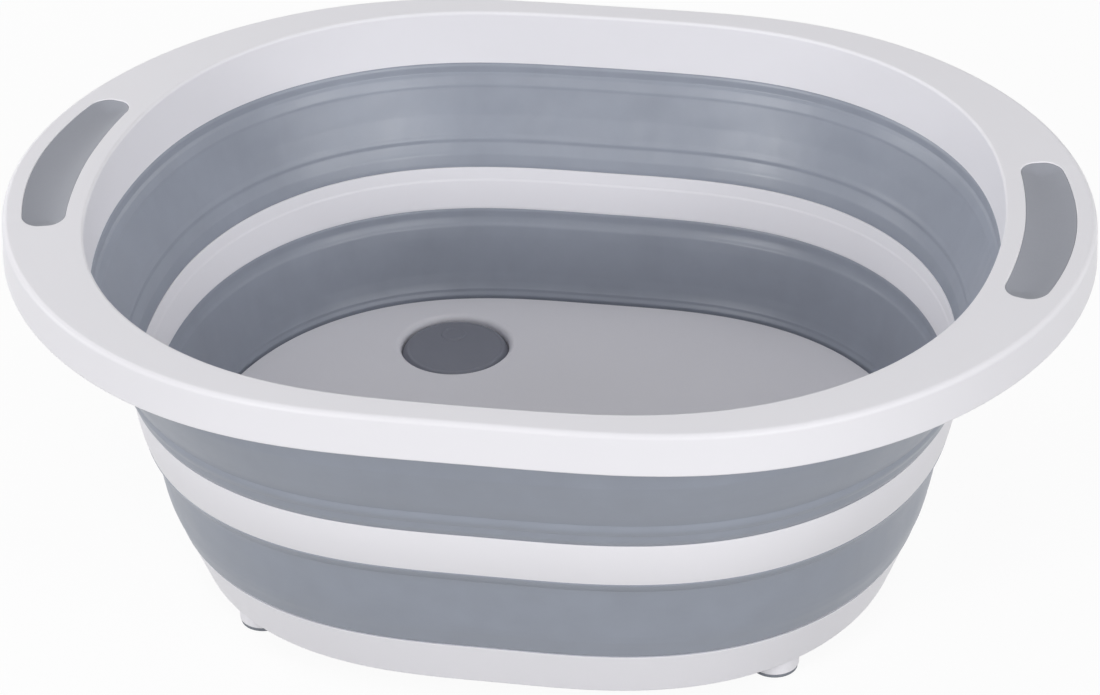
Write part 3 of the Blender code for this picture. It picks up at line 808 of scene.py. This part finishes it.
def makeBase():
    floorWall = baseSizes["floorWall"]
    edge = -shared["seamGap"] * baseEdgeShare
    wall = shared["seamWall"]
    skirtWall = baseSizes["skirtWall"]
    web = floorTop - floorWall - baseSizes["webHeight"]
    rise = (floorTop - shoulder) / (ringFoot - shoulder)
    floorPlan = between(basePlan, ringFootPlan, rise)
    webPlan = between(baseFootPlan, basePlan, (web - skirtFoot) / (shoulder - skirtFoot))
    stations = [
        (floorPlan, edge - 2 * baseSizes["floorEdge"], floorTop),
        (floorPlan, edge, floorTop),
        (basePlan, edge, shoulder),
    ]
    stations += tongue(basePlan, shoulder, ringFootPlan, ringFoot)
    stations += [
        (basePlan, wall, shoulder),
        (baseFootPlan, wall, skirtFoot),
        (baseFootPlan, wall - skirtWall, skirtFoot),
        (webPlan, wall - skirtWall, web),
        (basePlan, -baseSizes["cornerWeb"], floorTop - floorWall),
    ]
    skirtEdge = baseSizes["skirtEdge"]
    radii = [0, baseSizes["floorEdge"], 0, 0, 0, 0, 0, baseSizes["seamEdge"]]
    radii += [skirtEdge, skirtEdge, 0, 0]
    piece = section("baseTray", stations, radii, closed=False)
    combine(piece, joined(footPosts()), "UNION")
    ribY = longRibShare * float(basePlan(turn / 4))
    combine(piece, joined(floorRibs((-ribY, ribY), 0)), "UNION")
    combine(piece, joined(floorRibs((-footSpot[0], 0.0, footSpot[0]), 1)), "UNION")
    combine(piece, drainBoss(), "UNION")
    combine(piece, drainCut(), "DIFFERENCE")
    combine(piece, joined(footSockets()), "DIFFERENCE")
    dress(piece, floorWhite, "base", "base")


def footPlaces():
    return [(sideX * footSpot[0], sideY * footSpot[1]) for sideX, sideY in footCorners.values()]


def footPosts():
    low = footSizes["padHeight"] + footSizes["padGap"]
    high = floorTop - baseSizes["floorWall"] + baseSizes["ribSink"]
    radius = footSizes["postRadius"]
    profile = [(radius + footSizes["postDraft"], high), (radius, low), (radius / 2, low)]
    radii = [0, footSizes["postEdge"], 0]
    return [turned("post", place, profile, radii, turnedSteps["post"]) for place in footPlaces()]


def footSockets():
    low = footSizes["padHeight"] + footSizes["padGap"]
    radius = footSizes["studRadius"] + footSizes["socketGap"]
    profile = [(radius, low + footSizes["studHeight"]), (radius, low - footSizes["overrun"])]
    steps = turnedSteps["socket"]
    return [turned("socket", place, profile, [0, 0], steps) for place in footPlaces()]


def reachAlong(plan, outward, offset, axis):
    # How far the plan reaches along one axis, on a line that lies off the middle
    places = planPlaces(plan, bearings, np.full(around, outward))
    places = places[places[:, axis] > 0]
    order = np.argsort(places[:, 1 - axis])
    return float(np.interp(offset, places[order, 1 - axis], places[order, axis]))


def floorRibs(offsets, axis):
    low = floorTop - baseSizes["floorWall"] - baseSizes["ribDepth"]
    high = floorTop - baseSizes["floorWall"] + baseSizes["ribSink"]
    plan = between(baseFootPlan, basePlan, (low - skirtFoot) / (shoulder - skirtFoot))
    ribs = []
    for offset in offsets:
        reach = reachAlong(plan, shared["seamWall"] - baseSizes["skirtWall"] / 2, offset, axis)
        near, far = offset - baseSizes["ribWall"] / 2, offset + baseSizes["ribWall"] / 2
        flat = np.array([(-reach, near), (reach, near), (reach, far), (-reach, far)])
        ribs.append(prism(flat[:, ::-1] if axis else flat, low, high))
    return ribs


def drainBoss():
    top = floorTop - baseSizes["floorWall"] / 2
    foot = floorTop - drainSizes["dishDepth"] - baseSizes["floorWall"]
    outer = drainSizes["dishRadius"] + drainSizes["bossWall"]
    spout = drainSizes["holeRadius"] + drainSizes["spoutWall"]
    edge = drainSizes["edge"]
    low = foot - drainSizes["spoutHeight"]
    inside = drainSizes["holeRadius"] / 2
    profile = [(outer, top), (outer, foot), (spout, foot), (spout, low), (inside, low)]
    return turned("boss", drainSpot, profile, [0, edge, edge, edge, 0])


def drainCut():
    # The dish with its rolled edge, its seat and the hole below
    seat = floorTop - drainSizes["dishDepth"]
    seatRadius = drainSizes["seatRadius"]
    low = seat - baseSizes["floorWall"] - drainSizes["spoutHeight"] - drainSizes["overrun"]
    lip = drainSizes["lip"]
    hole = drainSizes["holeRadius"]
    outer = seatRadius + 2 * lip
    skim = floorTop + drainSizes["skim"]
    profile = [
        (outer, floorTop + drainSizes["overrun"]), (outer, skim),
        (seatRadius + drainSizes["seatLead"], skim), (seatRadius, seat), (hole, seat), (hole, low),
    ]
    radii = [0, 0, lip, drainSizes["seatFillet"], drainSizes["edge"], 0]
    return turned("cut", drainSpot, profile, radii, arc=fineArcSteps)


plugSizes = millimetres(
    flangeWall=3.6, clearance=0.25, crownInset=2.0, innerInset=3.2, edgeDrop=2.5, edgeRadius=0.6,
    dish=0.35, crownRadius=0.9, innerRadius=1.2, neckDepth=9.5, neckWall=2.4, bead=0.8,
    beadHeight=1.6, markRadius=4.9, markOffset=10.3, markWidth=0.7, markHeight=0.25,
    markSink=0.6, markFoot=0.05, soft=0.35,
)
markAngle = math.radians(105)
markHollow = 0.3  # height of the mark's middle, as a share of its ring's height


def makePlug():
    under = floorTop - drainSizes["dishDepth"] + shared["seamGap"]
    edge = drainSizes["seatRadius"] - plugSizes["clearance"]
    top = under + plugSizes["flangeWall"]
    dish = top - plugSizes["dish"]
    beadRadius = drainSizes["holeRadius"] - shared["seamGap"]
    neck = beadRadius - plugSizes["bead"]
    bore = neck - plugSizes["neckWall"]
    foot = under - plugSizes["neckDepth"]
    soft = plugSizes["soft"]
    profile = [
        (edge / 3, dish), (edge - plugSizes["innerInset"], dish),
        (edge - plugSizes["crownInset"], top), (edge, top - plugSizes["edgeDrop"]),
        (edge, under), (neck, under),
    ]
    radii = [0, plugSizes["innerRadius"], plugSizes["crownRadius"], plugSizes["edgeRadius"]]
    radii += [soft, soft]
    for row in (1, 2):
        bead = under - plugSizes["neckDepth"] * row / 3
        high = plugSizes["beadHeight"]
        profile += [(neck, bead + high), (beadRadius, bead + high / 2), (neck, bead)]
        radii += [soft, soft, soft]
    profile += [(neck, foot), (bore, foot), (bore, under), (bore / 2, under)]
    radii += [soft, soft, soft, 0]
    piece = turned("drainPlug", drainSpot, profile, radii, turnedSteps["plug"])
    combine(piece, plugMark(dish), "UNION")
    dress(piece, plugGrey, "drain_plug", "drain_plug")


def plugMark(dish):
    # Low moulded circle off the plug's middle, its centre a little hollow
    offset = plugSizes["markOffset"]
    x = drainSpot[0] + offset * math.cos(markAngle)
    y = drainSpot[1] + offset * math.sin(markAngle)
    radius, width = plugSizes["markRadius"], plugSizes["markWidth"]
    rise, sink = dish + plugSizes["markHeight"], dish - plugSizes["markSink"]
    low = dish + plugSizes["markHeight"] * markHollow
    profile = [
        (radius / 3, low), (radius - 2 * width, low), (radius - width, rise), (radius, rise),
        (radius + width / 2, dish - plugSizes["markFoot"]), (radius, sink), (radius / 3, sink),
    ]
    radii = [0, width, width / 3, width / 3, 0, 0, 0]
    return turned("mark", (x, y), profile, radii, turnedSteps["mark"])


def makePads():
    height, stud = footSizes["padHeight"], footSizes["studRadius"]
    radius, edge = footSizes["padRadius"], footSizes["padEdge"]
    profile = [
        (stud / 2, height + footSizes["studHeight"]), (stud, height + footSizes["studHeight"]),
        (stud, height), (radius, height), (radius, 0.0), (radius / 2, 0.0),
    ]
    radii = [0, footSizes["studEdge"], footSizes["studFillet"], footSizes["padTopEdge"], edge, 0]
    for name, place in zip(footCorners, footPlaces()):
        piece = turned("pad_" + name, place, profile, radii, turnedSteps["pad"])
        dress(piece, padGrey, "foot_pad_" + name, "base")


makeBase()
print("base made")
makePlug()
makePads()
print("plug and foot pads made")


# Studio: plain white floor and sky, soft lamps and the photograph's camera
studio = {
    "skyStrength": 0.156, "floorShare": 0.93, "floorSize": 40.0, "floorCells": 4,
    "floorDrop": 0.05 * mm, "floorSeen": 0.9, "floorBounce": 0.40,
    "lampDistance": 2.5, "aimHeight": 0.08,
    # name, compass angle from the front, angle above the table, disc size, power
    "ringLamps": (
        ("frontLeftLamp", -30, 20.4, 0.8, 24.6),
        ("frontRightLamp", 30, 20.4, 0.8, 18.6),
        ("rightLamp", 60, 20.4, 0.8, 15.4),
        ("leftLamp", -90, 14, 1.1, 15.0),
        ("backRightLamp", 135, 14, 1.1, 6.0),
        ("backLeftLamp", -135, 14, 1.1, 6.0),
    ),
    # name, place, disc size, power
    "overheadLamps": (
        ("topLamp", (0.0, 0.0, 2.6), 2.0, 8.0),
        ("nearLeftLamp", (-0.7, 0.45, 0.85), 0.8, 1.9),
        ("nearRightLamp", (0.8, 0.3, 0.85), 0.8, 1.2),
    ),
}


def seenDirectly(shader):
    # 1 for rays that see the backdrop itself, straight or in a glossy surface
    names = ("Is Camera Ray", "Is Glossy Ray", "Is Transmission Ray")
    straight, glossy, through = [shader.node("LightPath", output=name) for name in names]
    return shader.node("Math", {"operation": "MINIMUM"}, {0: straight + glossy + through, 1: 1.0})


def makeFloor():
    # Glows white where it is seen, and a share of plain paint keeps the basin's shadow
    size, cells = studio["floorSize"], studio["floorCells"]
    shape = bmesh.new()
    bmesh.ops.create_grid(shape, x_segments=cells, y_segments=cells, size=size)
    mesh = bpy.data.meshes.new("studioFloor")
    shape.to_mesh(mesh)
    shape.free()
    ground = linked("studioFloor", mesh)
    ground.location.z = -studio["floorDrop"]
    material = bpy.data.materials.new("studioFloor")
    shader = Shader(material)
    seen = seenDirectly(shader)
    tone = shader.mixed(seen, (studio["floorBounce"],) * 3, (studio["floorSeen"],) * 3)
    plain = shader.node("BsdfDiffuse", None, {"Color": tone})
    glow = shader.node("Emission", None, {"Color": (1, 1, 1), "Strength": 1.0})
    share = seen * studio["floorShare"]
    mixed = shader.node("MixShader", None, {0: share, 1: plain, 2: glow})
    shader.node("OutputMaterial", None, {"Surface": mixed})
    mesh.materials.append(material)


def makeSky():
    # Dim on the basin, white where it is seen
    world = bpy.data.worlds.new("studio")
    bpy.context.scene.world = world
    shader = Shader(world)
    light = shader.node("Background", None, {"Color": (1, 1, 1), "Strength": studio["skyStrength"]})
    seen = shader.node("Background", None, {"Color": (1, 1, 1), "Strength": 1.0})
    mixed = shader.node("MixShader", None, {0: seenDirectly(shader), 1: light, 2: seen})
    shader.node("OutputWorld", None, {"Surface": mixed})


def aim(thing, place, target):
    thing.location = place
    away = Vector(place) - Vector(target)
    thing.rotation_euler = away.to_track_quat("Z", "Y").to_euler()


def makeLamps():
    lamps = list(studio["overheadLamps"])
    for name, compass, rise, size, power in studio["ringLamps"]:
        compass, rise = math.radians(compass), math.radians(rise)
        flat = studio["lampDistance"] * math.cos(rise)
        high = studio["aimHeight"] + studio["lampDistance"] * math.sin(rise)
        place = (flat * math.sin(compass), -flat * math.cos(compass), high)
        lamps.append((name, place, size, power))
    for name, place, size, power in lamps:
        lamp = bpy.data.lights.new(name, "AREA")
        lamp.shape = "DISK"
        lamp.size = size
        lamp.energy = power
        aim(linked(name, lamp), place, (0, 0, studio["aimHeight"]))


camera = {
    "azimuth": math.radians(10.650), "elevation": math.radians(31.310),
    "roll": math.radians(-1.170), "distance": 1361.8 * mm, "aside": 0.329 * mm,
    "up": 0.941 * mm, "height": 79.25 * mm, "lens": 118.76, "sensor": 36.0, "near": 10 * mm,
}


def makeCamera():
    azimuth, elevation, roll = camera["azimuth"], camera["elevation"], camera["roll"]
    flat = math.cos(elevation)
    back = Vector((math.sin(azimuth) * flat, -math.cos(azimuth) * flat, math.sin(elevation)))
    level = Vector((math.cos(azimuth), math.sin(azimuth), 0))
    upright = back.cross(level)
    right = level * math.cos(roll) + upright * math.sin(roll)
    up = upright * math.cos(roll) - level * math.sin(roll)
    place = right * camera["aside"] + up * camera["up"] + back * camera["distance"]
    place.z += camera["height"]
    lens = bpy.data.cameras.new("camera")
    lens.lens = camera["lens"]
    lens.sensor_width = camera["sensor"]
    lens.clip_start = camera["near"]
    thing = linked("camera", lens)
    axes = Matrix((right, up, back)).transposed().to_4x4()
    thing.matrix_world = Matrix.Translation(place) @ axes
    bpy.context.scene.camera = thing


makeFloor()
makeSky()
makeLamps()
makeCamera()
bpy.context.scene.view_settings.view_transform = "Standard"
print("studio made")
